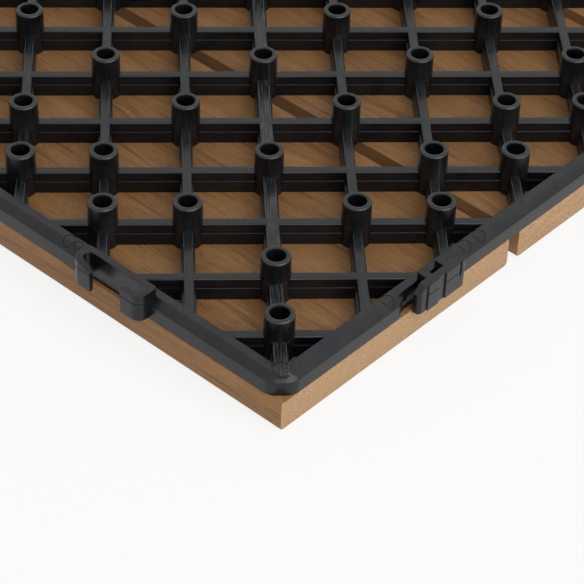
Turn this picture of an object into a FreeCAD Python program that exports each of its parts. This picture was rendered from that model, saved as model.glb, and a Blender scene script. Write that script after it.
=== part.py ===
import FreeCAD, Part
import math
import os

# Interlocking deck tile, 300 mm square, lying on its walking faces with the plastic underside up.
# Millimetres. Z = 0 is the floor under the walking faces, the origin is the middle of the tile.
# The near left corner is at -X, -Y. Slats run along Y.

# Wood
tile_size = 300.0
slat_count = 3
slat_gap = 4.5
slat_thickness = 9.7
slat_edge_radius = 1.2

# Lattice of diagonal ribs: nodes lie on columns and rows that divide each slat's pitch
columns_per_slat = 6
rib_width = 2.95
main_rib_width = 3.95
rib_height = 6.9

# Tubular feet
tube_height = 14.3
tube_diameter = 8.1
bore_diameter = 5.5
bore_floor = 3.0
tube_points_between_ribs = 1
bore_sides = 8

# Rim
rim_inset = 0.1
rim_reach = 5.0
rim_wall_height = 4.6
rim_slope_width = 2.1
corner_cut = 4.7
corner_round = 3.0

# Connectors, on all four sides at the same distance from the corners
connector_from_corner = 62.5
connector_height = 9.3
joint_between_tiles = 2.5
fit_clearance = 0.2

# Hook plate
plate_length = 19.6
plate_thickness = 2.9
plate_stand_off = 0.5
plate_bottom = 0.1
plate_round = 1.3
plate_bevel_length = 2.4
plate_bevel_height = 2.8
relief_depth = 0.45
left_margin = 3.3
left_panel_length = 4.6
panel_gap = 2.9
groove_from_end = 2.2
groove_width = 0.6
groove_length = 4.8
web_width = 2.5
web_spacing = 7.4
web_off_centre = 0.5
web_bottom = 3.0
web_reach_in = 2.8

# Slotted bracket
jaw_thickness = 2.0
jaw_bottom = 0.6
slot_end_clearance = 1.45
slot_wall = 2.2
slot_corner_cut = 0.9
bracket_end_wall = 2.05
bracket_round = 3.0
mouth_clearance = 0.45
jaw_bevel = 1.2
pocket_lead_length = 5.5
pocket_lead_clearance = 1.4
pocket_end_clearance = 0.6

# Screws
screw_head_diameter = 4.8
screw_head_height = 1.9
screw_shank_diameter = 3.0
screw_length = 10.0
screw_point_length = 2.0
screw_hole_clearance = 0.1
head_sides = 8
shank_sides = 6

# Worked out from the sizes above
half_tile = tile_size / 2
slat_width = (tile_size - (slat_count - 1) * slat_gap) / slat_count
slat_pitch = slat_width + slat_gap
column = slat_pitch / columns_per_slat
middle_node = slat_count * columns_per_slat // 2
last_node = 2 * middle_node - 1
wood_plane = slat_thickness
rib_top = wood_plane + rib_height
inner_half = half_tile - rim_reach
connector_offset = half_tile - connector_from_corner
plate_outer = plate_stand_off + plate_thickness
slot_outer = joint_between_tiles - plate_stand_off + fit_clearance
slot_inner = joint_between_tiles - plate_outer - fit_clearance
slot_half_length = plate_length / 2 + slot_end_clearance
bracket_outer = slot_outer + jaw_thickness
bracket_inner = slot_inner - slot_wall
bracket_half_length = slot_half_length + bracket_end_wall
web_half_span = web_off_centre + web_spacing / 2 + web_width / 2
mouth_half_width = web_half_span + mouth_clearance
pocket_face = joint_between_tiles - bracket_outer - fit_clearance
pocket_start = -bracket_half_length - pocket_lead_clearance
pocket_end = bracket_half_length + pocket_end_clearance


def vector(x, y, z=0.0):
    return FreeCAD.Vector(x, y, z)


def closed_face(points, z=0.0):
    """Flat face through points (x, y) at height z."""
    corners = [vector(x, y, z) for x, y in points]
    return Part.Face(Part.makePolygon(corners + corners[:1]))


def prism(points, low, high):
    return closed_face(points, low).extrude(vector(0, 0, high - low))


def rectangle(x_low, x_high, y_low, y_high):
    return [(x_low, y_low), (x_high, y_low), (x_high, y_high), (x_low, y_high)]


def regular_points(radius, sides, x=0.0, y=0.0):
    """Corners of a many-sided round, a flat of it towards +X+Y."""
    start = math.pi / 4 + math.pi / sides
    turns = [start + 2 * math.pi * i / sides for i in range(sides)]
    return [(x + radius * math.cos(a), y + radius * math.sin(a)) for a in turns]


def rounded_wire(corners, z):
    """Closed wire through (x, y, radius) corners, given anticlockwise, each rounded by its radius."""
    edges = []
    ends = []
    for i, (x, y, radius) in enumerate(corners):
        here = vector(x, y, z)
        back = vector(*corners[i - 1][:2], z).sub(here).normalize()
        ahead = vector(*corners[(i + 1) % len(corners)][:2], z).sub(here).normalize()
        if radius == 0:
            ends.append((here, here))
            continue
        half_angle = back.getAngle(ahead) / 2
        leg = radius / math.tan(half_angle)
        bisector = back.add(ahead).normalize()
        centre = here.add(bisector * (radius / math.sin(half_angle)))
        start = here.add(back * leg)
        end = here.add(ahead * leg)
        middle = centre.sub(bisector * radius)
        edges.append(Part.Arc(start, middle, end).toShape())
        ends.append((start, end))
    for i in range(len(ends)):
        edges.append(Part.LineSegment(ends[i - 1][1], ends[i][0]).toShape())
    return Part.Wire(Part.__sortEdges__(edges))


def rounded_prism(corners, low, high):
    return Part.Face(rounded_wire(corners, low)).extrude(vector(0, 0, high - low))


def node_place(column_index, row_index):
    """Centre of a lattice node; nodes are numbered from 1 at the -X, -Y corner."""
    return (column_index - middle_node) * column, (row_index - middle_node) * column


def near_connector(along):
    """True where an edge tube would run into a bracket at this distance from the middle."""
    return abs(abs(along) - connector_offset) < bracket_half_length + tube_diameter / 2


def tube_nodes():
    """Feet stand on every second node, with one more row along each side."""
    nodes = []
    for s in range(1, last_node + 1):
        for d in range(1, last_node + 1):
            x, y = node_place(s, d)
            inner = s % 2 == 0 and d % 2 == 0
            left_or_right = s in (1, last_node)
            on_side_row = s % 2 == 1 and d % 2 == 1 and (left_or_right or d in (1, last_node))
            along = y if left_or_right else x
            if inner or (on_side_row and not near_connector(along)):
                nodes.append((s, d))
    return nodes


def slat_columns(slat_index):
    """Even node columns that carry this slat's screws, the outermost two."""
    first = slat_index * columns_per_slat
    return [s for s in range(first + 1, first + columns_per_slat) if s % 2 == 0]


def screw_nodes(slat_index):
    return [(s, d) for s in slat_columns(slat_index) for d in (2, last_node - 1)]


def slat(slat_index):
    """Planed board with its two long walking-face edges rounded, and pilot holes for its screws."""
    low = -half_tile + slat_index * slat_pitch
    high = low + slat_width
    board = Part.makeBox(slat_width, tile_size, slat_thickness, vector(low, -half_tile, 0))
    long_edges = [
        edge
        for edge in board.Edges
        if abs(edge.BoundBox.YLength - tile_size) < 1e-6 and edge.BoundBox.ZMax < 1e-6
    ]
    board = board.makeFillet(slat_edge_radius, long_edges)
    radius = (screw_shank_diameter + screw_hole_clearance) / 2
    depth = screw_length - bore_floor + screw_hole_clearance
    holes = []
    for s, d in screw_nodes(slat_index):
        x, y = node_place(s, d)
        points = regular_points(radius, shank_sides, x, y)
        holes.append(prism(points, wood_plane - depth, wood_plane))
    return board.cut(holes)


def rib(offset, direction, width):
    """Flat strip of one rib at 45 degrees; offset counts node columns along X from the middle."""
    half_length = tile_size
    across = width / 2
    x_middle = offset * column
    along = vector(1, direction).normalize()
    side = vector(-along.y, along.x)
    corners = []
    for a, b in ((-1, -1), (1, -1), (1, 1), (-1, 1)):
        point = vector(x_middle, 0) + along * (a * half_length) + side * (b * across)
        corners.append((point.x, point.y))
    return closed_face(corners, wood_plane)


def tube_outline(x, y):
    """Many-sided round of a foot; corners fall where the ribs' sides run into it."""
    radius = tube_diameter / 2
    rib_angle = math.asin(rib_width / 2 / radius)
    steps = tube_points_between_ribs + 1
    turns = []
    for quarter in range(4):
        rib_direction = math.pi / 4 + quarter * math.pi / 2
        free_angle = math.pi / 2 - 2 * rib_angle
        turns.append(rib_direction - rib_angle)
        turns += [rib_direction + rib_angle + free_angle * i / steps for i in range(steps)]
    return [(x + radius * math.cos(a), y + radius * math.sin(a)) for a in turns]


def lattice():
    """Ribs as one extruded outline, trimmed where they run into the rim."""
    strips = []
    for offset in range(-2 * middle_node, 2 * middle_node + 1, 2):
        width = main_rib_width if offset == 0 else rib_width
        strips.append(rib(offset, 1, width))
        strips.append(rib(offset, -1, width))
    outline = strips[0].fuse(strips[1:])
    inside = closed_face(rectangle(-inner_half, inner_half, -inner_half, inner_half), wood_plane)
    return outline.common(inside).removeSplitter().extrude(vector(0, 0, rib_height))


def rim_outline(inset, z):
    """Square outline with its four corners cut off, each cut rounded into the sides."""
    half = half_tile - rim_inset - inset
    cut = corner_cut - inset * (2 - math.sqrt(2))
    radius = corner_round - inset
    near = half - cut
    corners = [(near, -half), (half, -near), (half, near), (near, half)]
    corners += [(-near, half), (-half, near), (-half, -near), (-near, -half)]
    return rounded_wire([(x, y, max(radius, 0)) for x, y in corners], z)


def rim():
    """Frame with an upright wall, a slope and a flat top level with the ribs."""
    crease = wood_plane + rim_wall_height
    wall = Part.Face(rim_outline(0, wood_plane)).extrude(vector(0, 0, rim_wall_height))
    slope = Part.makeLoft([rim_outline(0, crease), rim_outline(rim_slope_width, rib_top)], True, True)
    inside = prism(rectangle(-inner_half, inner_half, -inner_half, inner_half), wood_plane, rib_top)
    return wall.fuse(slope).cut(inside)


def on_side(shape, along, quarter_turns):
    """Moves a connector from its own frame to a side.

    In its own frame X runs along the edge, -Y points out of the tile and Z = 0 is the wood plane.
    No turn gives the side at -Y, one turn the side at +X, and so on.
    """
    placed = shape.copy()
    placed.translate(vector(along, -half_tile, wood_plane))
    placed.rotate(vector(0, 0), vector(0, 0, 1), 90 * quarter_turns)
    return placed


def plate_pocket():
    """Room behind a hook plate for the neighbour's jaw, with a rounded lead at its corner end."""
    back = -pocket_face
    depth = back - rim_inset
    radius = (pocket_lead_length**2 + depth**2) / (2 * depth)
    lead_start = vector(pocket_start, rim_inset)
    lead_stop = vector(pocket_start + pocket_lead_length, back)
    centre = vector(lead_stop.x, back - radius)
    half_turn = math.asin(pocket_lead_length / radius) / 2
    lead_middle = centre + vector(-math.sin(half_turn), math.cos(half_turn)) * radius
    lead = Part.Arc(lead_start, lead_middle, lead_stop).toShape()
    corners = [lead_stop, vector(pocket_end, back), vector(pocket_end, -bracket_outer)]
    corners += [vector(pocket_start, -bracket_outer), lead_start]
    outline = Part.Wire([lead] + Part.makePolygon(corners).Edges)
    return Part.Face(outline).extrude(vector(0, 0, rib_height))


def hook_plate():
    """Upright plate that stands off the tile on two webs and drops into a neighbour's slot."""
    half = plate_length / 2
    back = -plate_stand_off
    front = -plate_outer
    floor = front + relief_depth
    left_panel_start = -half + left_margin
    left_panel_end = left_panel_start + left_panel_length
    right_panel_start = left_panel_end + panel_gap
    body_corners = [(-half, floor, plate_round), (right_panel_start, floor, 0)]
    body_corners += [(right_panel_start, back, 0), (-half, back, 0)]
    body = rounded_prism(body_corners, plate_bottom, connector_height)
    left_panel = prism(
        rectangle(left_panel_start, left_panel_end, front, back), plate_bottom, connector_height
    )
    right_panel = rounded_prism(
        [
            (right_panel_start, front, 0),
            (half, front, plate_round),
            (half, back, 0),
            (right_panel_start, back, 0),
        ],
        plate_bottom,
        connector_height,
    )
    groove_end = half - groove_from_end
    groove = prism(
        rectangle(groove_end - groove_width, groove_end, front, floor),
        connector_height - groove_length,
        connector_height,
    )
    bevel_face = Part.makePolygon(
        [
            vector(-half, front, connector_height),
            vector(-half + plate_bevel_length, front, connector_height),
            vector(-half, front, connector_height - plate_bevel_height),
            vector(-half, front, connector_height),
        ]
    )
    bevel = Part.Face(bevel_face).extrude(vector(0, plate_thickness, 0))
    webs = []
    for sign in (-1, 1):
        middle = web_off_centre + sign * web_spacing / 2
        outline = rectangle(middle - web_width / 2, middle + web_width / 2, back, web_reach_in)
        webs.append(prism(outline, web_bottom, connector_height))
    return body.fuse([left_panel, right_panel] + webs).cut([groove, bevel])


def bracket_body():
    """Block that carries the slot, clear of the slat's side below."""
    half = bracket_half_length
    corners = [
        (-half, -bracket_outer, bracket_round),
        (half, -bracket_outer, bracket_round),
        (half, -bracket_inner, 0),
        (-half, -bracket_inner, 0),
    ]
    return rounded_prism(corners, jaw_bottom, connector_height)


def bracket_room():
    """Slot for a neighbour's plate and the mouth between the two jaws for its webs."""
    half = slot_half_length
    slot_points = [(-half + slot_corner_cut, -slot_outer), (half - slot_corner_cut, -slot_outer)]
    slot_points += [(half, -slot_outer + slot_corner_cut), (half, -slot_inner - slot_corner_cut)]
    slot_points += [(half - slot_corner_cut, -slot_inner), (-half + slot_corner_cut, -slot_inner)]
    slot_points += [(-half, -slot_inner - slot_corner_cut), (-half, -slot_outer + slot_corner_cut)]
    slot = prism(slot_points, 0, connector_height)
    jaw_middle = -slot_outer - jaw_bevel
    mouth_points = [
        (-mouth_half_width - jaw_bevel, -slot_outer),
        (-mouth_half_width, jaw_middle),
        (-mouth_half_width, -bracket_outer),
        (mouth_half_width, -bracket_outer),
        (mouth_half_width, jaw_middle),
        (mouth_half_width + jaw_bevel, -slot_outer),
    ]
    return slot.fuse(prism(mouth_points, 0, connector_height))


def base_grid():
    """The whole black moulding: lattice, feet, rim and connectors."""
    tubes = tube_nodes()
    tube_top = wood_plane + tube_height
    posts = [prism(tube_outline(*node_place(s, d)), wood_plane, tube_top) for s, d in tubes]
    places = (-connector_offset, connector_offset)
    hook_sides = (0, 1)
    bracket_sides = (2, 3)
    frame = rim()
    frame = frame.cut([on_side(plate_pocket(), a, q) for q in hook_sides for a in places])
    frame = frame.fuse([on_side(bracket_body(), a, q) for q in bracket_sides for a in places])
    frame = frame.cut([on_side(bracket_room(), a, q) for q in bracket_sides for a in places])
    frame = frame.fuse([on_side(hook_plate(), a, q) for q in hook_sides for a in places])
    moulding = lattice().fuse([frame] + posts).removeSplitter()
    bores = []
    for s, d in tubes:
        points = regular_points(bore_diameter / 2, bore_sides, *node_place(s, d))
        bores.append(prism(points, wood_plane + bore_floor, tube_top))
    radius = (screw_shank_diameter + screw_hole_clearance) / 2
    for slat_index in range(slat_count):
        for s, d in screw_nodes(slat_index):
            points = regular_points(radius, shank_sides, *node_place(s, d))
            bores.append(prism(points, wood_plane, wood_plane + bore_floor))
    return moulding.cut(bores).removeSplitter()


def screw(x, y):
    """Pan-head screw seated on the floor of a foot's bore, its point in the slat."""
    seat = wood_plane + bore_floor
    point_top = seat - screw_length + screw_point_length
    head = prism(
        regular_points(screw_head_diameter / 2, head_sides, x, y), seat, seat + screw_head_height
    )
    outline = regular_points(screw_shank_diameter / 2, shank_sides, x, y)
    shank = prism(outline, point_top, seat)
    corners = [vector(px, py, point_top) for px, py in outline]
    tip = vector(x, y, seat - screw_length)
    sides = [closed_triangle(corners[i - 1], corners[i], tip) for i in range(shank_sides)]
    point = Part.Solid(Part.Shell(sides + [closed_face(outline, point_top)]))
    return head.fuse([shank, point]).removeSplitter()


def closed_triangle(a, b, c):
    return Part.Face(Part.makePolygon([a, b, c, a]))


def single_solid(shape):
    solids = shape.Solids
    if len(solids) != 1:
        raise ValueError("expected one solid, found %d" % len(solids))
    return solids[0]


slat_names = ["slat_left", "slat_middle", "slat_right"]
nodes = {"base_grid": single_solid(base_grid())}
for index in range(slat_count):
    nodes[slat_names[index]] = single_solid(slat(index))
nodes["fixing_screws"] = Part.makeCompound(
    [
        single_solid(screw(*node_place(s, d)))
        for index in range(slat_count)
        for s, d in screw_nodes(index)
    ]
)

os.makedirs("parts", exist_ok=True)
for name, shape in nodes.items():
    shape.exportStep("parts/" + name + ".step")
    box = shape.BoundBox
    print(name, len(shape.Solids), "solids", round(shape.Volume / 1000, 2), "cm3", box)
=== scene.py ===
import math

import bmesh
import bpy
from mathutils import Matrix, Vector


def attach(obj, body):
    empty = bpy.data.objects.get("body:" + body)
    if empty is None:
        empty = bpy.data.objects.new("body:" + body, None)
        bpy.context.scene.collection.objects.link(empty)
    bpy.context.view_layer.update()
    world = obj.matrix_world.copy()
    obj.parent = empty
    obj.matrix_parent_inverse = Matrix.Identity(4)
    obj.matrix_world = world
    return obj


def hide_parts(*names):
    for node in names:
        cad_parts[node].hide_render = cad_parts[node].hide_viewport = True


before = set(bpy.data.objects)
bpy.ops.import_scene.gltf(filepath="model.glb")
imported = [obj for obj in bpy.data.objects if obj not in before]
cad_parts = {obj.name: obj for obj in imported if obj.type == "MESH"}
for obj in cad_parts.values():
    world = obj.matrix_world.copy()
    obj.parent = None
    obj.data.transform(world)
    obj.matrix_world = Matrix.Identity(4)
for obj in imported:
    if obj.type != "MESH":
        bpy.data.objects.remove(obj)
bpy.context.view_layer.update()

# Wooden slats: three planed hardwood boards side by side, walking faces down, with a gap to drain.
# Their walking edges are rounded lengthwise and all others only eased. Screws from the plastic
# side hold them, so each board has its pilot holes.
mm = 0.001
half_tile = 150.0 * mm
slat_width = 97.0 * mm
slat_pitch = 101.5 * mm
slat_thickness = 9.7 * mm
walking_edge_radius = 1.2 * mm
eased_edge = 0.3 * mm
slat_names = ("slat_left", "slat_middle", "slat_right")
columns_per_slat = 6
column = slat_pitch / columns_per_slat
middle_node = 9
screw_columns = (2, 4, 8, 10, 14, 16)
screw_rows = (2, 16)
screw_shank_width = 3.0 * mm
screw_depth_in_wood = 7.0 * mm
pilot_play = 0.1 * mm
tiny = 0.01 * mm


def edit(piece):
    """Opens one piece in edit mode with nothing else selected."""
    if bpy.context.object and bpy.context.object.mode == "EDIT":
        bpy.ops.object.mode_set(mode="OBJECT")
    bpy.ops.object.select_all(action="DESELECT")
    bpy.context.view_layer.objects.active = piece
    piece.select_set(True)
    bpy.ops.object.mode_set(mode="EDIT")
    bpy.ops.mesh.select_all(action="DESELECT")


def pick(kind, test):
    """Selects the faces or edges of the piece in edit mode that pass a test."""
    bpy.ops.mesh.select_mode(type=kind)
    bpy.ops.mesh.select_all(action="DESELECT")
    mesh = bmesh.from_edit_mesh(bpy.context.object.data)
    mesh.normal_update()
    for part in mesh.faces if kind == "FACE" else mesh.edges:
        if test(part):
            part.select_set(True)
    mesh.select_flush_mode()
    bmesh.update_edit_mesh(bpy.context.object.data)


def middle(edge):
    """Middle point of an edge."""
    return (edge.verts[0].co + edge.verts[1].co) / 2


def direction(edge):
    """Direction of an edge, of length 1."""
    return (edge.verts[1].co - edge.verts[0].co).normalized()


def fold(edge):
    """Angle between the two faces at an edge, in degrees."""
    return math.degrees(edge.calc_face_angle(0)) if len(edge.link_faces) == 2 else 0


def box(name, low, high):
    """Starts a piece from a block between two corners, in edit mode."""
    if bpy.context.object and bpy.context.object.mode == "EDIT":
        bpy.ops.object.mode_set(mode="OBJECT")
    bpy.ops.object.select_all(action="DESELECT")
    size = Vector(high) - Vector(low)
    centre = (Vector(high) + Vector(low)) / 2
    bpy.ops.mesh.primitive_cube_add(size=1, location=centre)
    piece = bpy.context.object
    piece.name = name
    piece.scale = size
    settle(piece)
    edit(piece)
    return piece


def slice_at(place, normal, **extra):
    """Cuts the whole piece in edit mode along a plane."""
    bpy.ops.mesh.select_all(action="SELECT")
    bpy.ops.mesh.bisect(plane_co=place, plane_no=normal, threshold=1e-7, **extra)


def settle(piece):
    """Puts a piece's place, turn and size into its mesh."""
    bpy.ops.object.select_all(action="DESELECT")
    piece.select_set(True)
    bpy.context.view_layer.objects.active = piece
    bpy.ops.object.transform_apply(location=True, rotation=True, scale=True)


def close():
    """Leaves edit mode."""
    bpy.ops.object.mode_set(mode="OBJECT")


def join(pieces, name):
    """Makes one object of several and names it."""
    bpy.ops.object.select_all(action="DESELECT")
    for piece in pieces:
        piece.select_set(True)
    bpy.context.view_layer.objects.active = pieces[0]
    bpy.ops.object.join()
    bpy.context.object.name = name
    return bpy.context.object


def copy_to(piece, place, turn=0.0):
    """Copy with its own mesh, turned about the tile's upright axis after it is moved."""
    twin = piece.copy()
    twin.data = piece.data.copy()
    bpy.context.scene.collection.objects.link(twin)
    twin.data.transform(Matrix.Rotation(turn, 4, "Z") @ Matrix.Translation(Vector(place)))
    return twin


def cut(piece, tool):
    """Cuts one closed mesh out of another and removes it."""
    bpy.ops.object.select_all(action="DESELECT")
    bpy.context.view_layer.objects.active = piece
    piece.select_set(True)
    change = piece.modifiers.new("cut", "BOOLEAN")
    change.operation = "DIFFERENCE"
    change.solver = "EXACT"
    change.object = tool
    bpy.ops.object.modifier_apply(modifier=change.name)
    bpy.data.objects.remove(tool)


def node_place(s, d):
    """Where the lattice's node in column s and row d stands."""
    return (s - middle_node) * column, (d - middle_node) * column


slats = []
for i, slat_name in enumerate(slat_names):
    left = -half_tile + i * slat_pitch
    slat = box(
        "board_" + slat_name, (left, -half_tile, 0), (left + slat_width, half_tile, slat_thickness)
    )
    pick("EDGE", lambda e: middle(e).z < tiny and abs(direction(e).y) > 0.9)
    bpy.ops.mesh.bevel(offset=walking_edge_radius, segments=5, affect="EDGES")
    pick("EDGE", lambda e: fold(e) > 40)
    bpy.ops.mesh.bevel(offset=eased_edge, segments=2, affect="EDGES")
    close()
    holes = []
    for s in screw_columns[2 * i : 2 * i + 2]:
        for d in screw_rows:
            bpy.ops.mesh.primitive_cylinder_add(
                vertices=12,
                radius=screw_shank_width / 2 + pilot_play,
                depth=2 * screw_depth_in_wood,
                location=(*node_place(s, d), slat_thickness),
            )
            holes.append(bpy.context.object)
    holes = join(holes, "pilot_holes")
    settle(holes)
    cut(slat, holes)
    bpy.ops.object.shade_smooth_by_angle(angle=math.radians(40))
    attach(slat, "root")
    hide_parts(slat_name)
    slats.append(slat)


def feed(tree, socket, value):
    """Sets a socket from a number, a colour or another node's output."""
    if isinstance(value, bpy.types.NodeSocket):
        tree.links.new(value, socket)
    else:
        socket.default_value = value


def calc(tree, operation, *values):
    node = tree.nodes.new("ShaderNodeMath")
    node.operation = operation
    for socket, value in zip(node.inputs, values):
        feed(tree, socket, value)
    return node.outputs[0]


def remap(tree, value, low, high, to_low=0.0, to_high=1.0):
    node = tree.nodes.new("ShaderNodeMapRange")
    for socket, number in zip(node.inputs, (value, low, high, to_low, to_high)):
        feed(tree, socket, number)
    return node.outputs[0]


def mix(tree, factor, first, second):
    node = tree.nodes.new("ShaderNodeMix")
    node.data_type = "RGBA"
    feed(tree, node.inputs[0], factor)
    feed(tree, node.inputs[6], first)
    feed(tree, node.inputs[7], second)
    return node.outputs[2]


def blend_values(tree, factor, first, second):
    node = tree.nodes.new("ShaderNodeMix")
    feed(tree, node.inputs[0], factor)
    feed(tree, node.inputs[2], first)
    feed(tree, node.inputs[3], second)
    return node.outputs[0]


def stretched(tree, place, factors, shift=(0, 0, 0)):
    node = tree.nodes.new("ShaderNodeMapping")
    tree.links.new(place, node.inputs["Vector"])
    node.inputs["Location"].default_value = shift
    node.inputs["Scale"].default_value = factors
    return node.outputs[0]


def noise(tree, place, scale, detail=2.0, roughness=0.5):
    node = tree.nodes.new("ShaderNodeTexNoise")
    tree.links.new(place, node.inputs["Vector"])
    node.inputs["Scale"].default_value = scale
    node.inputs["Detail"].default_value = detail
    node.inputs["Roughness"].default_value = roughness
    return node.outputs[0]


def parts_of(tree, place):
    node = tree.nodes.new("ShaderNodeSeparateXYZ")
    tree.links.new(place, node.inputs[0])
    return node.outputs[0], node.outputs[1], node.outputs[2]


def vector_of(tree, x, y, z):
    node = tree.nodes.new("ShaderNodeCombineXYZ")
    for socket, value in zip(node.inputs, (x, y, z)):
        feed(tree, socket, value)
    return node.outputs[0]


def bump(tree, height, distance):
    """Normal from a height given in parts of a distance in millimetres."""
    node = tree.nodes.new("ShaderNodeBump")
    node.inputs["Distance"].default_value = distance * mm
    tree.links.new(height, node.inputs["Height"])
    return node.outputs[0]


def node_group(name, inputs, outputs):
    """Starts a group and returns it with its input values and output sockets by name."""
    group = bpy.data.node_groups.new(name, "ShaderNodeTree")
    for label, kind, value in inputs:
        socket = group.interface.new_socket(label, in_out="INPUT", socket_type=kind)
        socket.default_value = value
    for label in outputs:
        kind = "NodeSocketColor" if label == "Color" else "NodeSocketFloat"
        group.interface.new_socket(label, in_out="OUTPUT", socket_type=kind)
    given = group.nodes.new("NodeGroupInput").outputs
    out = group.nodes.new("NodeGroupOutput").inputs
    return group, given, out


def use_group(tree, group, values):
    node = tree.nodes.new("ShaderNodeGroup")
    node.node_tree = group
    for label, value in values.items():
        feed(tree, node.inputs[label], value)
    return node.outputs


def new_material(name):
    material = bpy.data.materials.new(name)
    material.use_nodes = True
    tree = material.node_tree
    return material, tree.nodes["Principled BSDF"], tree


def object_place(tree):
    """Object coordinates in millimetres."""
    node = tree.nodes.new("ShaderNodeTexCoord")
    return stretched(tree, node.outputs["Object"], (1000, 1000, 1000))


def plank_wood():
    """Planed hardwood: tone bands, dark streaks and open pores along Y, and on the sawn ends
    pale speckled end grain. Each board has its own stretch of the pattern."""
    group, given, out = node_group(
        "plank_wood",
        [
            ("Place", "NodeSocketVector", (0, 0, 0)),
            ("Facing", "NodeSocketVector", (0, 0, 1)),
            ("Pale", "NodeSocketColor", (1, 1, 1, 1)),
            ("Warm", "NodeSocketColor", (1, 1, 1, 1)),
            ("Dark", "NodeSocketColor", (0, 0, 0, 1)),
            ("Sawn Pale", "NodeSocketColor", (1, 1, 1, 1)),
            ("Sawn Dark", "NodeSocketColor", (0, 0, 0, 1)),
        ],
        ["Color", "Roughness", "Height"],
    )
    x, y, z = parts_of(group, given["Place"])
    half_gap = 2
    from_left = calc(group, "ADD", x, half_tile / mm + half_gap)
    board = calc(group, "FLOOR", calc(group, "DIVIDE", from_left, slat_pitch / mm))
    own = vector_of(
        group,
        calc(group, "ADD", x, calc(group, "MULTIPLY", board, 17)),
        calc(group, "ADD", y, calc(group, "MULTIPLY", board, 431)),
        calc(group, "ADD", z, calc(group, "MULTIPLY", board, 29)),
    )
    waver = remap(group, noise(group, stretched(group, own, (1, 0.3, 1)), 0.05, 2), 0, 1, -5, 5)
    own_x, own_y, own_z = parts_of(group, own)
    bent = vector_of(group, calc(group, "ADD", own_x, waver), own_y, own_z)
    bands = noise(group, stretched(group, bent, (1, 0.03, 1)), 0.1, 3)
    streaks = noise(group, stretched(group, bent, (1, 0.055, 1)), 0.55, 4, 0.6)
    fibres = noise(group, stretched(group, bent, (1, 0.02, 1)), 2.8, 2)
    pores = noise(group, stretched(group, bent, (1, 0.07, 1)), 4.6, 1)
    dark_streaks = remap(group, streaks, 0.53, 0.7, 0, 0.75)
    open_pores = remap(group, pores, 0.6, 0.7, 0, 1)
    tone = mix(group, remap(group, bands, 0.36, 0.64), given["Warm"], given["Pale"])
    tone = mix(group, dark_streaks, tone, given["Dark"])
    tone = mix(group, remap(group, fibres, 0.35, 0.7, 0, 0.4), tone, given["Dark"])
    tone = mix(group, calc(group, "MULTIPLY", open_pores, 0.55), tone, given["Dark"])
    speckle = noise(group, stretched(group, own, (0.55, 0.5, 1)), 2.4, 3, 0.65)
    vessels = remap(group, noise(group, own, 5.2, 1), 0.6, 0.68, 0, 1)
    below = calc(group, "POWER", calc(group, "ADD", own_z, 55), 2)
    ring = calc(group, "SQRT", calc(group, "ADD", calc(group, "POWER", own_x, 2), below))
    ring = calc(group, "ADD", ring, calc(group, "MULTIPLY", noise(group, own, 0.1, 2), 6))
    rings = noise(group, vector_of(group, ring, board, 0), 0.5, 3)
    sawn = mix(group, remap(group, rings, 0.4, 0.7, 0, 0.3), given["Sawn Pale"], given["Sawn Dark"])
    sawn = mix(group, remap(group, speckle, 0.42, 0.66, 0, 0.85), sawn, given["Sawn Dark"])
    sawn = mix(group, calc(group, "MULTIPLY", vessels, 0.65), sawn, given["Dark"])
    facing_y = calc(group, "ABSOLUTE", parts_of(group, given["Facing"])[1])
    is_end = remap(group, facing_y, 0.55, 0.85)
    feed(group, out["Color"], mix(group, is_end, tone, sawn))
    dull = remap(group, fibres, 0.3, 0.7, 0.5, 0.62)
    feed(group, out["Roughness"], blend_values(group, is_end, dull, 0.8))
    hollows = calc(group, "SUBTRACT", calc(group, "MULTIPLY", fibres, 0.4), open_pores)
    rough_cut = calc(group, "SUBTRACT", speckle, vessels)
    feed(group, out["Height"], blend_values(group, is_end, hollows, rough_cut))
    return group


wood, wood_shader, wood_tree = new_material("oiled_hardwood")
facing = wood_tree.nodes.new("ShaderNodeTexCoord").outputs["Normal"]
wood_look = use_group(
    wood_tree,
    plank_wood(),
    {
        "Place": object_place(wood_tree),
        "Facing": facing,
        "Pale": (0.335, 0.169, 0.058, 1),
        "Warm": (0.255, 0.122, 0.039, 1),
        "Dark": (0.115, 0.048, 0.015, 1),
        "Sawn Pale": (0.44, 0.28, 0.15, 1),
        "Sawn Dark": (0.25, 0.138, 0.062, 1),
    },
)
feed(wood_tree, wood_shader.inputs["Base Color"], wood_look["Color"])
feed(wood_tree, wood_shader.inputs["Roughness"], wood_look["Roughness"])
feed(wood_tree, wood_shader.inputs["Normal"], bump(wood_tree, wood_look["Height"], 0.05))
for slat in slats:
    slat.data.materials.clear()
    slat.data.materials.append(wood)

# Lattice: ribs of the black moulding, crossing at 45 degrees on a regular grid of nodes.
# Each rib has a fine ledge along both sides half way down, and the two that run through the
# middle of the tile are wider. Moulded in one with the rim, the feet and the connectors.
wood_plane = slat_thickness
rib_height = 6.9 * mm
rib_top = wood_plane + rib_height
rib_half_width = 1.475 * mm
main_rib_extra = 0.5 * mm
ledge_width = 0.5 * mm
ledge_top = wood_plane + 4.0 * mm
rib_edge = 0.42 * mm
ledge_edge = 0.15 * mm
cell_pitch = column * math.sqrt(2)
cells_across = 18
inner_half = 145.0 * mm
lattice_half = 147.0 * mm
corner_rib_reach = 203.6 * mm
lattice_lift = 0.03 * mm


def extrude(step):
    """Extrudes what is selected in edit mode."""
    bpy.ops.mesh.extrude_region_move(TRANSFORM_OT_translate={"value": step})


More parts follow.
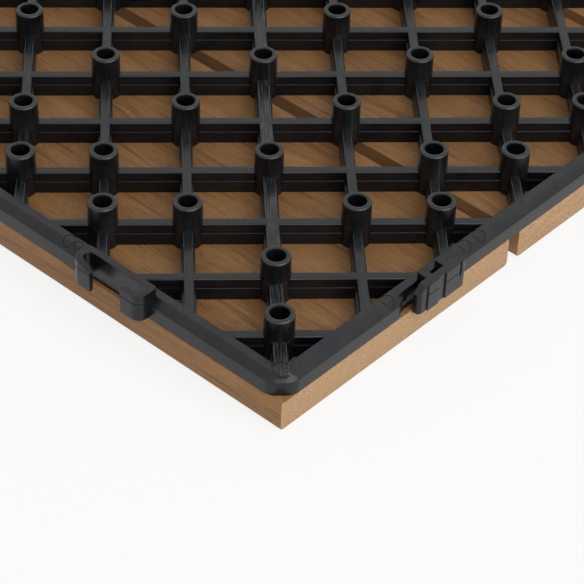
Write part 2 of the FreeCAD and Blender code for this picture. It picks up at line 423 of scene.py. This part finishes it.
def pull(test, step):
    """Moves the vertices of the piece in edit mode whose places pass a test."""
    bpy.ops.mesh.select_mode(type="VERT")
    bpy.ops.mesh.select_all(action="DESELECT")
    mesh = bmesh.from_edit_mesh(bpy.context.object.data)
    for vertex in mesh.verts:
        vertex.select_set(test(vertex.co))
    bmesh.update_edit_mesh(bpy.context.object.data)
    bpy.ops.transform.translate(value=step)


bpy.ops.object.select_all(action="DESELECT")
bpy.ops.mesh.primitive_grid_add(
    x_subdivisions=cells_across,
    y_subdivisions=cells_across,
    size=cells_across * cell_pitch,
    location=(0, 0, wood_plane + lattice_lift),
)
lattice = bpy.context.object
lattice.name = "base_moulding"
settle(lattice)
edit(lattice)
pick("FACE", lambda f: True)
foot_of_rib = rib_half_width + ledge_width
bpy.ops.mesh.inset(thickness=foot_of_rib, use_individual=True)
bpy.ops.mesh.delete(type="FACE")
for side in (-1, 1):
    pull(lambda v: abs(v.x * side - foot_of_rib) < tiny, (side * main_rib_extra, 0, 0))
    pull(lambda v: abs(v.y * side - foot_of_rib) < tiny, (0, side * main_rib_extra, 0))
close()
lattice.rotation_euler.z = math.radians(45)
settle(lattice)
edit(lattice)
for side in ((1, 0, 0), (-1, 0, 0), (0, 1, 0), (0, -1, 0)):
    slice_at(Vector(side) * lattice_half, side, clear_outer=True)
for corner in ((1, 1, 0), (1, -1, 0), (-1, 1, 0), (-1, -1, 0)):
    slice_at(Vector(corner).normalized() * corner_rib_reach, corner, clear_outer=True)
bpy.ops.mesh.select_all(action="SELECT")
extrude((0, 0, ledge_top - wood_plane - lattice_lift))
bpy.ops.mesh.inset(thickness=ledge_width, use_boundary=True)
extrude((0, 0, rib_top - ledge_top))
bpy.ops.mesh.select_all(action="SELECT")
bpy.ops.mesh.normals_make_consistent(inside=False)
pick("EDGE", lambda e: abs(middle(e).z - rib_top) < tiny and fold(e) > 40)
bpy.ops.mesh.bevel(offset=rib_edge, segments=3, affect="EDGES")
pick("EDGE", lambda e: abs(middle(e).z - ledge_top) < tiny and fold(e) > 40 and e.is_convex)
bpy.ops.mesh.bevel(offset=ledge_edge, segments=2, affect="EDGES")
close()

# Rim: the frame round the moulding, an upright wall, a hollow slope and a flat top level with
# the ribs. Its corners are cut off and rounded, and the slope stands steeper there. Behind each
# hook plate it steps back, with a rounded lead, to let the neighbour's jaw pass.
rim_inset = 0.1 * mm
corner_cut = 4.7 * mm
corner_round = 5.2 * mm
rim_wall_height = 4.6 * mm
# Width, rise and pull at the corners of the slope's three bands, from the wall up
rim_slopes = (
    (0.85 * mm, 0.6 * mm, 0),
    (0.7 * mm, 0.75 * mm, 0.86 * mm),
    (0.55 * mm, 0.98 * mm, 0.67 * mm),
)
rim_edge = 0.2 * mm
connector_offset = 87.5 * mm
pocket_depth = 1.9 * mm
pocket_start = -14.7 * mm
pocket_end = 13.9 * mm
pocket_lead = 5.5 * mm
pocket_end_lead = 4.5 * mm
bracket_outer = 4.2 * mm


def upright(edge):
    """True for an edge that stands on end."""
    return abs(direction(edge).z) > 0.9


def on_sides(piece, first_side):
    """Copies a connector made in its own frame, with X along the edge and -Y outwards, to two
    places on each of two adjoining sides. Side 0 is at -Y, side 1 at +X, side 2 at +Y."""
    twins = []
    for side in (first_side, first_side + 1):
        for along in (-connector_offset, connector_offset):
            twins.append(copy_to(piece, (along, -half_tile, 0), side * math.pi / 2))
    name = piece.name
    bpy.data.objects.remove(piece)
    return join(twins, name)


outer = half_tile - rim_inset
rim = box("rim", (-outer, -outer, wood_plane), (outer, outer, wood_plane + rim_wall_height))
pick("EDGE", upright)
bpy.ops.mesh.bevel(offset=corner_cut, segments=1, affect="EDGES")
pick("EDGE", upright)
bpy.ops.mesh.bevel(offset=corner_round * math.tan(math.pi / 8), segments=6, affect="EDGES")
level = wood_plane + rim_wall_height
for width, rise, corner_pull in rim_slopes:
    pick("FACE", lambda f: f.normal.z > 0.9)
    bpy.ops.mesh.inset(thickness=width, depth=rise)
    level += rise
    for x in (-1, 1):
        for y in (-1, 1):
            low = level - tiny
            pull(lambda v: v.z > low and v.x * x > v.y * y > 0, (0, y * corner_pull, 0))
            pull(lambda v: v.z > low and v.y * y > v.x * x > 0, (x * corner_pull, 0, 0))
pick("EDGE", lambda e: abs(direction(e).z) < 0.1 and fold(e) > 22)
bpy.ops.mesh.bevel(offset=rim_edge, segments=2, affect="EDGES")
close()
inside = box("inside", (-inner_half, -inner_half, 0), (inner_half, inner_half, rib_top - rim_edge))
pick("FACE", lambda f: f.normal.z > 0.9)
extrude((0, 0, 2 * rim_edge))
flare = (inner_half + 2 * rim_edge) / inner_half
bpy.ops.transform.resize(value=(flare, flare, 1), center_override=(0, 0, 0))
close()
cut(rim, inside)

pocket_rise = pocket_depth - rim_inset
pocket = box(
    "pocket",
    (pocket_start + pocket_lead, -bracket_outer, wood_plane - mm),
    (pocket_end - pocket_end_lead, pocket_depth, rib_top + mm),
)
for side, lead, end in (
    (-1, pocket_lead, pocket_start + pocket_lead),
    (1, pocket_end_lead, pocket_end - pocket_end_lead),
):
    lead_radius = (lead**2 + pocket_rise**2) / (2 * pocket_rise)
    pick("FACE", lambda f: f.normal.x * side > 0.99)
    bpy.ops.mesh.spin(
        steps=6,
        angle=side * math.asin(lead / lead_radius),
        center=(end, pocket_depth - lead_radius, wood_plane),
        axis=(0, 0, 1),
    )
bpy.ops.mesh.select_all(action="SELECT")
bpy.ops.mesh.remove_doubles(threshold=0.001 * mm)
bpy.ops.mesh.normals_make_consistent(inside=False)
close()
cut(rim, on_sides(pocket, 0))

# Slotted brackets: four blocks moulded onto two sides of the rim, each with an upright slot for a
# neighbour's hook plate and a mouth between two jaws for the plate's webs. The jaws hang clear of
# the wood, their outer corners are round, and a parting line runs below their top.
connector_height = 9.3 * mm
connector_top = wood_plane + connector_height
bracket_half_length = 13.3 * mm
bracket_inner = 3.3 * mm
bracket_round = 3.0 * mm
bracket_inner_round = 1.2 * mm
jaw_bottom = 0.6 * mm
slot_half_length = 11.25 * mm
slot_outer = 2.2 * mm
slot_inner = 1.1 * mm
slot_corner_cut = 1.5 * mm
mouth_half_width = 5.9 * mm
jaw_bevel = 1.2 * mm
jaw_line = wood_plane + 6.6 * mm
line_width = 0.2 * mm
line_depth = 0.14 * mm
line_side = 0.05 * mm
ramp_start = -10.2 * mm
ramp_above_line = 0.3 * mm
ramp_into_slot = 0.2 * mm
line_from = -slot_outer - 0.5 * mm
connector_edge = 0.22 * mm
overlap_with_rim = 0.4 * mm


def slice_for_line(height):
    """Slices the piece in edit mode for a parting line: its floor and a narrow band each side."""
    for reach in (line_width / 2, line_width / 2 + line_side):
        for z in (height - reach, height + reach):
            slice_at((0, 0, z), (0, 0, 1))


bracket = box(
    "slotted_bracket",
    (-bracket_half_length, -bracket_outer, wood_plane + jaw_bottom),
    (bracket_half_length, bracket_inner, connector_top),
)
pick("EDGE", lambda e: upright(e) and middle(e).y < 0)
bpy.ops.mesh.bevel(offset=bracket_round, segments=7, affect="EDGES")
pick("EDGE", lambda e: upright(e) and middle(e).y > bracket_inner - tiny)
bpy.ops.mesh.bevel(offset=bracket_inner_round, segments=5, affect="EDGES")
slice_at((0, rim_inset, 0), (0, 1, 0))
pick("FACE", lambda f: f.normal.z < -0.9 and f.calc_center_median().y > rim_inset)
extrude((0, 0, -jaw_bottom))
close()

room = box(
    "slot_and_mouth",
    (-slot_half_length, -slot_outer, wood_plane - mm),
    (slot_half_length, slot_inner, connector_top + mm),
)
pick("EDGE", upright)
bpy.ops.mesh.bevel(offset=slot_corner_cut, segments=5, affect="EDGES")
for x in (-mouth_half_width, mouth_half_width):
    slice_at((x, 0, 0), (1, 0, 0))
pick("FACE", lambda f: f.normal.y < -0.9 and abs(f.calc_center_median().x) < mouth_half_width)
extrude((0, slot_outer - bracket_outer - mm, 0))
pick(
    "EDGE",
    lambda e: upright(e)
    and abs(abs(middle(e).x) - mouth_half_width) < tiny
    and abs(middle(e).y + slot_outer) < tiny,
)
bpy.ops.mesh.bevel(offset=jaw_bevel, segments=3, affect="EDGES")
close()
cut(bracket, room)
ramp = box(
    "jaw_ramp",
    (ramp_start, -bracket_outer - mm, jaw_line + ramp_above_line),
    (0, -slot_outer + ramp_into_slot, connector_top + mm),
)
slice_at(
    (ramp_start, 0, connector_top),
    (connector_top - jaw_line - ramp_above_line, 0, -mouth_half_width - ramp_start),
    clear_inner=True,
    use_fill=True,
)
close()
cut(bracket, ramp)
edit(bracket)
pick("EDGE", lambda e: fold(e) > 40 and middle(e).z > wood_plane + tiny)
bpy.ops.mesh.bevel(offset=connector_edge, segments=2, affect="EDGES")
slice_for_line(jaw_line)
pick(
    "FACE",
    lambda f: abs(f.calc_center_median().z - jaw_line) < tiny
    and abs(f.normal.z) < 0.1
    and f.calc_center_median().y < line_from
    and f.normal.y < -0.1,
)
bpy.ops.transform.shrink_fatten(value=-line_depth)
close()

seat = box(
    "bracket_seat",
    (-bracket_half_length + overlap_with_rim, -bracket_outer, wood_plane - mm),
    (bracket_half_length - overlap_with_rim, bracket_inner - overlap_with_rim, rib_top + mm),
)
close()
cut(rim, on_sides(seat, 2))

# Hook plates: four upright plates that stand off the other two sides on a pair of webs and drop
# into a neighbour's slot. The left end is thinned and bevelled as a lead-in; the face has two
# raised panels, a short groove near the right end and a parting line.
plate_half_length = 9.8 * mm
plate_back = 0.5 * mm
plate_outer = 3.4 * mm
plate_bottom = wood_plane + 0.1 * mm
plate_round = 1.3 * mm
plate_edge = 0.14 * mm
relief_depth = 0.45 * mm
left_panel = (-6.5 * mm, -1.9 * mm)
right_panel_start = 1.0 * mm
groove = (7.0 * mm, 7.6 * mm)
groove_bottom = connector_top - 4.8 * mm
plate_line = wood_plane + 5.9 * mm
panel_front = -plate_outer + 0.05 * mm
bevel_length = 2.4 * mm
bevel_height = 2.8 * mm
web_spans = ((-4.45 * mm, -1.95 * mm), (2.95 * mm, 5.45 * mm))
web_bottom = wood_plane + 3.0 * mm
web_reach_in = 2.8 * mm

plate = box(
    "hook_plate",
    (-plate_half_length, -plate_outer + relief_depth, plate_bottom),
    (plate_half_length, -plate_back, connector_top),
)
slice_at(
    (-plate_half_length, 0, connector_top - bevel_height),
    (-bevel_height, 0, bevel_length),
    clear_outer=True,
    use_fill=True,
)
for x in (*left_panel, right_panel_start, *groove, *web_spans[0], *web_spans[1]):
    slice_at((x, 0, 0), (1, 0, 0))
for z in (groove_bottom, web_bottom):
    slice_at((0, 0, z), (0, 0, 1))


def on_panel(face):
    """True for the plate's front faces that stand proud."""
    centre = face.calc_center_median()
    if face.normal.y > -0.9:
        return False
    if left_panel[0] < centre.x < left_panel[1]:
        return True
    in_groove = groove[0] < centre.x < groove[1] and centre.z > groove_bottom
    return centre.x > right_panel_start and not in_groove


def on_web(face):
    """True for the back faces that the webs grow from."""
    centre = face.calc_center_median()
    on_span = any(a < centre.x < b for a, b in web_spans)
    return face.normal.y > 0.9 and on_span and centre.z > web_bottom


pick("FACE", on_panel)
extrude((0, -relief_depth, 0))
pick("FACE", on_web)
extrude((0, plate_back + web_reach_in, 0))
bpy.ops.mesh.select_all(action="SELECT")
bpy.ops.mesh.dissolve_limited(angle_limit=math.radians(1))
pick(
    "EDGE",
    lambda e: upright(e)
    and abs(middle(e).x) > plate_half_length - tiny
    and fold(e) > 40
    and middle(e).y < -plate_back - mm,
)
bpy.ops.mesh.bevel(offset=plate_round, segments=5, affect="EDGES")
pick("EDGE", lambda e: fold(e) > 32)
bpy.ops.mesh.bevel(offset=plate_edge, segments=2, affect="EDGES", clamp_overlap=True)
slice_for_line(plate_line)
pick(
    "FACE",
    lambda f: abs(f.calc_center_median().z - plate_line) < tiny
    and f.normal.y < -0.9
    and f.calc_center_median().y < panel_front,
)
bpy.ops.transform.translate(value=(0, line_depth, 0))
close()

# Feet: 88 round tubes that the tile stands on in use, one on every second node and one more row
# along each side. They taper a little to a rounded lip, and the bore stops short of the wood.
foot_top = wood_plane + 14.3 * mm
foot_root_radius = 4.5 * mm
foot_lip_radius = 4.25 * mm
bore_radius = 2.75 * mm
bore_floor = wood_plane + 3.0 * mm
outer_lip = 0.62 * mm
inner_lip = 0.3 * mm
foot_sides = 32
last_node = 17
room_by_bracket = 4.05 * mm


def near_connector(along):
    """True for a place along a side that a connector takes up."""
    return abs(abs(along) - connector_offset) < bracket_half_length + room_by_bracket


def foot_nodes():
    """Places of the feet: inner ones on every second node, side ones except by a connector."""
    for s in range(1, last_node + 1):
        for d in range(1, last_node + 1):
            x, y = node_place(s, d)
            inner = s % 2 == 0 and d % 2 == 0
            left_or_right = s in (1, last_node)
            on_side = s % 2 == 1 and d % 2 == 1 and (left_or_right or d in (1, last_node))
            if inner or (on_side and not near_connector(y if left_or_right else x)):
                yield x, y


def round_start(name, radius, height):
    """Starts a round piece from a filled circle at a height, in edit mode and all selected."""
    bpy.ops.object.select_all(action="DESELECT")
    bpy.ops.mesh.primitive_circle_add(
        vertices=foot_sides, radius=radius, fill_type="NGON", location=(0, 0, height)
    )
    piece = bpy.context.object
    piece.name = name
    settle(piece)
    edit(piece)
    bpy.ops.mesh.select_all(action="SELECT")
    return piece


def draw_up(height, from_radius, to_radius):
    """Extrudes the selected disc upwards and changes its radius."""
    extrude((0, 0, height))
    change = to_radius / from_radius
    bpy.ops.transform.resize(value=(change, change, 1), center_override=(0, 0, 0))


def at_every_foot(piece):
    """Puts copies of a piece, made on the tile's axis, at all feet and joins them."""
    name = piece.name
    twins = [copy_to(piece, (x, y, 0)) for x, y in foot_nodes()]
    bpy.data.objects.remove(piece)
    return join(twins, name)


foot = round_start("feet", foot_root_radius, wood_plane)
draw_up(foot_top - wood_plane, foot_root_radius, foot_lip_radius)
draw_up(0, foot_lip_radius, bore_radius)
draw_up(bore_floor - foot_top, bore_radius, bore_radius)
bpy.ops.mesh.select_all(action="SELECT")
bpy.ops.mesh.normals_make_consistent(inside=False)
for radius, lip, steps in ((foot_lip_radius, outer_lip, 4), (bore_radius, inner_lip, 2)):
    pick(
        "EDGE",
        lambda e: abs(middle(e).z - foot_top) < tiny
        and abs(e.verts[0].co.xy.length - radius) < tiny
        and abs(e.verts[1].co.xy.length - radius) < tiny,
    )
    bpy.ops.mesh.bevel(offset=lip, segments=steps, affect="EDGES")
close()
core = round_start("foot_seats", (foot_root_radius + bore_radius) / 2, wood_plane - mm)
draw_up(rib_height + 2 * mm, 1, 1)
close()

# The moulding comes together: lattice, rim, brackets, hook plates and feet are one piece of
# plastic. The mould's ejector pins have left round marks on the rim, and on a small pad that
# fills each corner.
mark_depth = 0.18 * mm
mark_line = 0.24 * mm
mark_inwards = 2.8 * mm
ring_start = 2.0 * mm
mark_radius = 1.95 * mm
marks_by_plate = (-17.0 * mm, 16.4 * mm, 22.8 * mm)
marks_by_bracket = ((-20.8 * mm, mark_radius), (-17.3 * mm, 1.4 * mm))
corner_mark = 145.25 * mm
corner_mark_radius = 2.45 * mm
corner_pad = 144.9 * mm
corner_pad_radius = 2.65 * mm
corner_pad_top = rib_top + 0.015 * mm


def ring(name, radius, along, inwards):
    """Upright tube for cutting a circle into the rim's top."""
    piece = round_start(name, radius, wood_plane + ring_start)
    bpy.ops.mesh.inset(thickness=mark_line)
    bpy.ops.mesh.delete(type="FACE")
    bpy.ops.mesh.select_all(action="SELECT")
    extrude((0, 0, rib_height))
    bpy.ops.mesh.select_all(action="SELECT")
    bpy.ops.transform.translate(value=(along, inwards, 0))
    bpy.ops.mesh.normals_make_consistent(inside=False)
    close()
    return piece


marks = [on_sides(ring("plate_marks", mark_radius, x, mark_inwards), 0) for x in marks_by_plate]
for x, radius in marks_by_bracket:
    marks.append(on_sides(ring("bracket_marks", radius, x, mark_inwards), 2))
corner_ring = ring("corner_mark", corner_mark_radius, -corner_mark, -corner_mark)
pad = round_start("corner_pads", corner_pad_radius, wood_plane)
draw_up(corner_pad_top - wood_plane, 1, 1)
close()
pads = []
corner_rings = []
for turn in range(4):
    pads.append(copy_to(pad, (-corner_pad, -corner_pad, 0), turn * math.pi / 2))
    corner_rings.append(copy_to(corner_ring, (0, 0, 0), turn * math.pi / 2))
bpy.data.objects.remove(pad)
bpy.data.objects.remove(corner_ring)
pads = join(pads, "corner_pads")
corner_rings = join(corner_rings, "corner_marks")
raise_to_top = (0, 0, rib_height - ring_start - mark_depth)
cut(pads, copy_to(corner_rings, raise_to_top))
cut(lattice, copy_to(corner_rings, raise_to_top))
marks = join([*marks, corner_rings], "ejector_marks")
cut(marks, copy_to(rim, (0, 0, -mark_depth)))
cut(rim, marks)
cut(lattice, at_every_foot(core))
connectors = [on_sides(bracket, 2), on_sides(plate, 0)]
moulding = join([lattice, rim, pads, *connectors, at_every_foot(foot)], "base_moulding")
bpy.ops.object.shade_smooth_by_angle(angle=math.radians(35))
even = moulding.modifiers.new("even_normals", "WEIGHTED_NORMAL")
even.keep_sharp = True
bpy.ops.object.modifier_apply(modifier=even.name)
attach(moulding, "root")
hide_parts("base_grid")


def moulded_plastic():
    """Colour, roughness and height of black polypropylene: flow streaks along each rib's top,
    painted pale as a painted sheen, cloudy skin, and a painted highlight round the edge of each
    foot's lip, the end the tile stands on."""
    group, given, out = node_group(
        "moulded_plastic",
        [
            ("Place", "NodeSocketVector", (0, 0, 0)),
            ("Skin", "NodeSocketColor", (0, 0, 0, 1)),
            ("Streak Sheen", "NodeSocketColor", (0, 0, 0, 1)),
            ("Lip Highlight", "NodeSocketColor", (0, 0, 0, 1)),
        ],
        ["Color", "Roughness", "Height"],
    )
    place = given["Place"]
    x, y, z = parts_of(group, place)
    u = calc(group, "MULTIPLY", calc(group, "ADD", x, y), math.sqrt(0.5))
    v = calc(group, "MULTIPLY", calc(group, "SUBTRACT", y, x), math.sqrt(0.5))
    half_cell = cell_pitch / mm / 2
    off_u_line = calc(group, "PINGPONG", u, half_cell)
    off_v_line = calc(group, "PINGPONG", v, half_cell)
    along_u = calc(group, "LESS_THAN", off_v_line, off_u_line)
    streaks_u = noise(group, vector_of(group, calc(group, "MULTIPLY", u, 0.05), v, 0), 2.6, 3)
    streaks_v = noise(group, vector_of(group, u, calc(group, "MULTIPLY", v, 0.05), 7), 2.6, 3)
    streaks = blend_values(group, along_u, streaks_v, streaks_u)
    off_middle = calc(group, "MINIMUM", calc(group, "ABSOLUTE", u), calc(group, "ABSOLUTE", v))
    main_rib = remap(group, off_middle, 2.6, 1.9, 0.35, 1.0)
    rib_level = rib_top / mm
    on_top = remap(group, z, rib_level - 0.3, rib_level - 0.1, 0, 1)
    below_feet = remap(group, z, rib_level + 0.6, rib_level + 0.2, 0, 1)
    # Pale streaks on the rib tops: partly real flow streaks, partly a painted sheen, lighter only
    # on top faces and fullest on the middle ribs and the ribs along u.
    mask = calc(group, "MULTIPLY", calc(group, "MULTIPLY", on_top, below_feet), main_rib)
    mask = calc(group, "MULTIPLY", mask, blend_values(group, along_u, 0.3, 1.0))
    mask = calc(group, "MULTIPLY", mask, remap(group, streaks, 0.45, 0.7, 0, 1))
    cloud = noise(group, place, 0.12, 3)
    skin = mix(group, remap(group, cloud, 0.35, 0.65, 0, 0.08), given["Skin"], given["Streak Sheen"])
    skin_with_streak_sheen = mix(group, mask, skin, given["Streak Sheen"])
    half_column = column / mm / 2
    across = calc(group, "POWER", calc(group, "WRAP", x, half_column, -half_column), 2)
    along = calc(group, "POWER", calc(group, "WRAP", y, half_column, -half_column), 2)
    from_foot = calc(group, "SQRT", calc(group, "ADD", across, along))
    on_lip_edge = remap(group, from_foot, 3.3, 3.7, 0.15, 1)
    foot_level = foot_top / mm
    on_foot_end = remap(group, z, foot_level - 0.8, foot_level - 0.4, 0, 1)
    # Paler colour round the edge of each foot's lip is a painted highlight, broken up by noise.
    lip_highlight = calc(group, "MULTIPLY", on_foot_end, on_lip_edge)
    highlight_breakup = remap(group, noise(group, place, 1.1, 4), 0.35, 0.65, 0.5, 1)
    lip_highlight = calc(group, "MULTIPLY", lip_highlight, highlight_breakup)
    feed(group, out["Color"], mix(group, lip_highlight, skin_with_streak_sheen, given["Lip Highlight"]))
    dull = remap(group, cloud, 0.3, 0.7, 0.25, 0.33)
    dull = calc(group, "SUBTRACT", dull, calc(group, "MULTIPLY", mask, 0.08))
    dull = calc(group, "SUBTRACT", dull, calc(group, "MULTIPLY", lip_highlight, 0.06))
    feed(group, out["Roughness"], dull)
    skin_grain = noise(group, place, 5.5, 2)
    waves = calc(group, "MULTIPLY", noise(group, place, 0.35, 1), 2.5)
    feed(group, out["Height"], calc(group, "ADD", skin_grain, waves))
    return group


plastic, plastic_shader, plastic_tree = new_material("black_moulded_plastic")
plastic_look = use_group(
    plastic_tree,
    moulded_plastic(),
    {
        "Place": object_place(plastic_tree),
        "Skin": (0.0013, 0.0022, 0.0036, 1),
        # pale grey of the rib-top streaks, a painted sheen
        "Streak Sheen": (0.058, 0.057, 0.055, 1),
        # grey of the painted highlight on the foot lips
        "Lip Highlight": (0.026, 0.026, 0.026, 1),
    },
)
feed(plastic_tree, plastic_shader.inputs["Base Color"], plastic_look["Color"])
feed(plastic_tree, plastic_shader.inputs["Roughness"], plastic_look["Roughness"])
plastic_grain = bump(plastic_tree, plastic_look["Height"], 0.008)
feed(plastic_tree, plastic_shader.inputs["Normal"], plastic_grain)
plastic_shader.inputs["Specular IOR Level"].default_value = 0.37
moulding.data.materials.clear()
moulding.data.materials.append(plastic)

# Screws: twelve stainless pan-head screws, sunk in the bores of the outermost inner feet and
# driven into the slats. The head is domed, with a cross recess, and the end is pointed.
screw_head_radius = 2.4 * mm
# Rise of each step of the domed head, and its radius below and above in millimetres
head_steps = (
    (0.95 * mm, 2.4, 2.4),
    (0.5 * mm, 2.4, 2.2),
    (0.3 * mm, 2.2, 1.75),
    (0.15 * mm, 1.75, 1),
)
head_top = bore_floor + 1.9 * mm
screw_length = 10.0 * mm
screw_point = 2.0 * mm
blunt_share = 0.08
recess_reach = 1.3 * mm
recess_width = 0.55 * mm
recess_bottom = head_top - 1.1 * mm
recess_taper = 0.62

screw = round_start("pan_head_screws", screw_head_radius, bore_floor)
for rise, from_radius, to_radius in head_steps:
    draw_up(rise, from_radius, to_radius)
pick("FACE", lambda f: f.normal.z < -0.9)
draw_up(0, screw_head_radius, screw_shank_width / 2)
draw_up(screw_point - screw_length, 1, 1)
draw_up(-screw_point, 1, blunt_share)
bpy.ops.mesh.select_all(action="SELECT")
bpy.ops.mesh.normals_make_consistent(inside=False)
close()
recess = box(
    "recess",
    (-recess_width / 2, -recess_width / 2, recess_bottom),
    (recess_width / 2, recess_width / 2, head_top + mm),
)
reach = recess_reach - recess_width / 2
for side in ((1, 0), (-1, 0), (0, 1), (0, -1)):
    pick(
        "FACE",
        lambda f: f.normal.xy.dot(Vector(side)) > 0.9
        and abs(f.calc_center_median().xy.cross(Vector(side))) < tiny,
    )
    extrude((side[0] * reach, side[1] * reach, 0))
pick("FACE", lambda f: f.normal.z < -0.9)
bpy.ops.transform.resize(
    value=(recess_taper, recess_taper, 1), center_override=(0, 0, recess_bottom)
)
close()
cut(screw, recess)
screw_places = [(*node_place(s, d), 0) for s in screw_columns for d in screw_rows]
screw_copies = [copy_to(screw, place) for place in screw_places]
bpy.data.objects.remove(screw)
screws = join(screw_copies, "pan_head_screws")
bpy.ops.object.shade_smooth_by_angle(angle=math.radians(35))
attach(screws, "root")
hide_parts("fixing_screws")


def turned_steel():
    """Fine rings from the heading tool round each screw, and a slightly clouded surface."""
    group, given, out = node_group(
        "turned_steel", [("Place", "NodeSocketVector", (0, 0, 0))], ["Color", "Roughness", "Height"]
    )
    place = given["Place"]
    cloud = noise(group, place, 1.4, 3)
    scratches = noise(group, stretched(group, place, (1, 1, 9)), 4, 3)
    light = mix(group, remap(group, cloud, 0.3, 0.7), (0.46, 0.46, 0.47, 1), (0.58, 0.58, 0.59, 1))
    feed(group, out["Color"], light)
    feed(group, out["Roughness"], remap(group, scratches, 0.3, 0.7, 0.28, 0.42))
    feed(group, out["Height"], scratches)
    return group


steel, steel_shader, steel_tree = new_material("screw_stainless_steel")
steel_look = use_group(steel_tree, turned_steel(), {"Place": object_place(steel_tree)})
steel_shader.inputs["Metallic"].default_value = 1
feed(steel_tree, steel_shader.inputs["Base Color"], steel_look["Color"])
feed(steel_tree, steel_shader.inputs["Roughness"], steel_look["Roughness"])
feed(steel_tree, steel_shader.inputs["Normal"], bump(steel_tree, steel_look["Height"], 0.006))
screws.data.materials.clear()
screws.data.materials.append(steel)

# Setting: a pale floor that fades to white, one large soft lamp that faces the end grain, and the
# camera where the photographer stood.
camera_data = bpy.data.cameras.new("photo_view")
camera_data.lens = 148.991
camera_data.sensor_width = 36
camera_data.clip_start = 0.01
camera_data.clip_end = 50
camera = bpy.data.objects.new("photo_view", camera_data)
bpy.context.scene.collection.objects.link(camera)
camera.location = (-500.987 * mm, -454.887 * mm, 448.39 * mm)
camera.rotation_euler = [math.radians(turn) for turn in (49.3206, -1.8412, -47.6211)]
bpy.context.scene.camera = camera

lamp_data = bpy.data.lights.new("key_lamp", "AREA")
lamp_data.shape = "SQUARE"
lamp_data.size = 2.2
lamp_data.energy = 39.5
lamp = bpy.data.objects.new("key_lamp", lamp_data)
bpy.context.scene.collection.objects.link(lamp)
lamp.location = (-0.3, -1.7, 1.05)
lamp.rotation_euler = (-lamp.location).to_track_quat("-Z", "Y").to_euler()

floor_size = 12
floor_drop = 0.1 * mm
floor_glow = 0.8
bpy.ops.object.select_all(action="DESELECT")
bpy.ops.mesh.primitive_plane_add(size=floor_size, location=(0, 0, -floor_drop))
floor = bpy.context.object
floor.name = "floor"


def two_looks(tree, lit, seen, share, end):
    """Lets a first shader do the lighting and shows a second one, by a share from 0 to 1, to the
    camera, straight, by reflection or through something."""
    path = tree.nodes.new("ShaderNodeLightPath").outputs
    mask = calc(tree, "MAXIMUM", path["Is Camera Ray"], path["Is Glossy Ray"])
    mask = calc(tree, "MAXIMUM", mask, path["Is Transmission Ray"])
    blend = tree.nodes.new("ShaderNodeMixShader")
    feed(tree, blend.inputs[0], calc(tree, "MULTIPLY", mask, share))
    feed(tree, blend.inputs[1], lit.outputs[0])
    feed(tree, blend.inputs[2], seen.outputs[0])
    feed(tree, tree.nodes[end].inputs["Surface"], blend.outputs[0])


world = bpy.data.worlds.new("studio")
bpy.context.scene.world = world
world.use_nodes = True
tree = world.node_tree
soft_light = tree.nodes["Background"]
soft_light.inputs["Color"].default_value = (1, 1, 1, 1)
soft_light.inputs["Strength"].default_value = 0.51
white = tree.nodes.new("ShaderNodeBackground")
white.inputs["Color"].default_value = (1, 1, 1, 1)
white.inputs["Strength"].default_value = 1
two_looks(tree, soft_light, white, 1, "World Output")

paper, paper_shader, tree = new_material("pale_floor")
paper_shader.inputs["Base Color"].default_value = (0.85, 0.85, 0.85, 1)
paper_shader.inputs["Roughness"].default_value = 0.9
paper_shader.inputs["Specular IOR Level"].default_value = 0
glow = tree.nodes.new("ShaderNodeEmission")
glow.inputs["Color"].default_value = (1, 1, 1, 1)
glow.inputs["Strength"].default_value = 1
two_looks(tree, paper_shader, glow, floor_glow, "Material Output")
floor.data.materials.append(paper)

bpy.context.scene.view_settings.view_transform = "Standard"
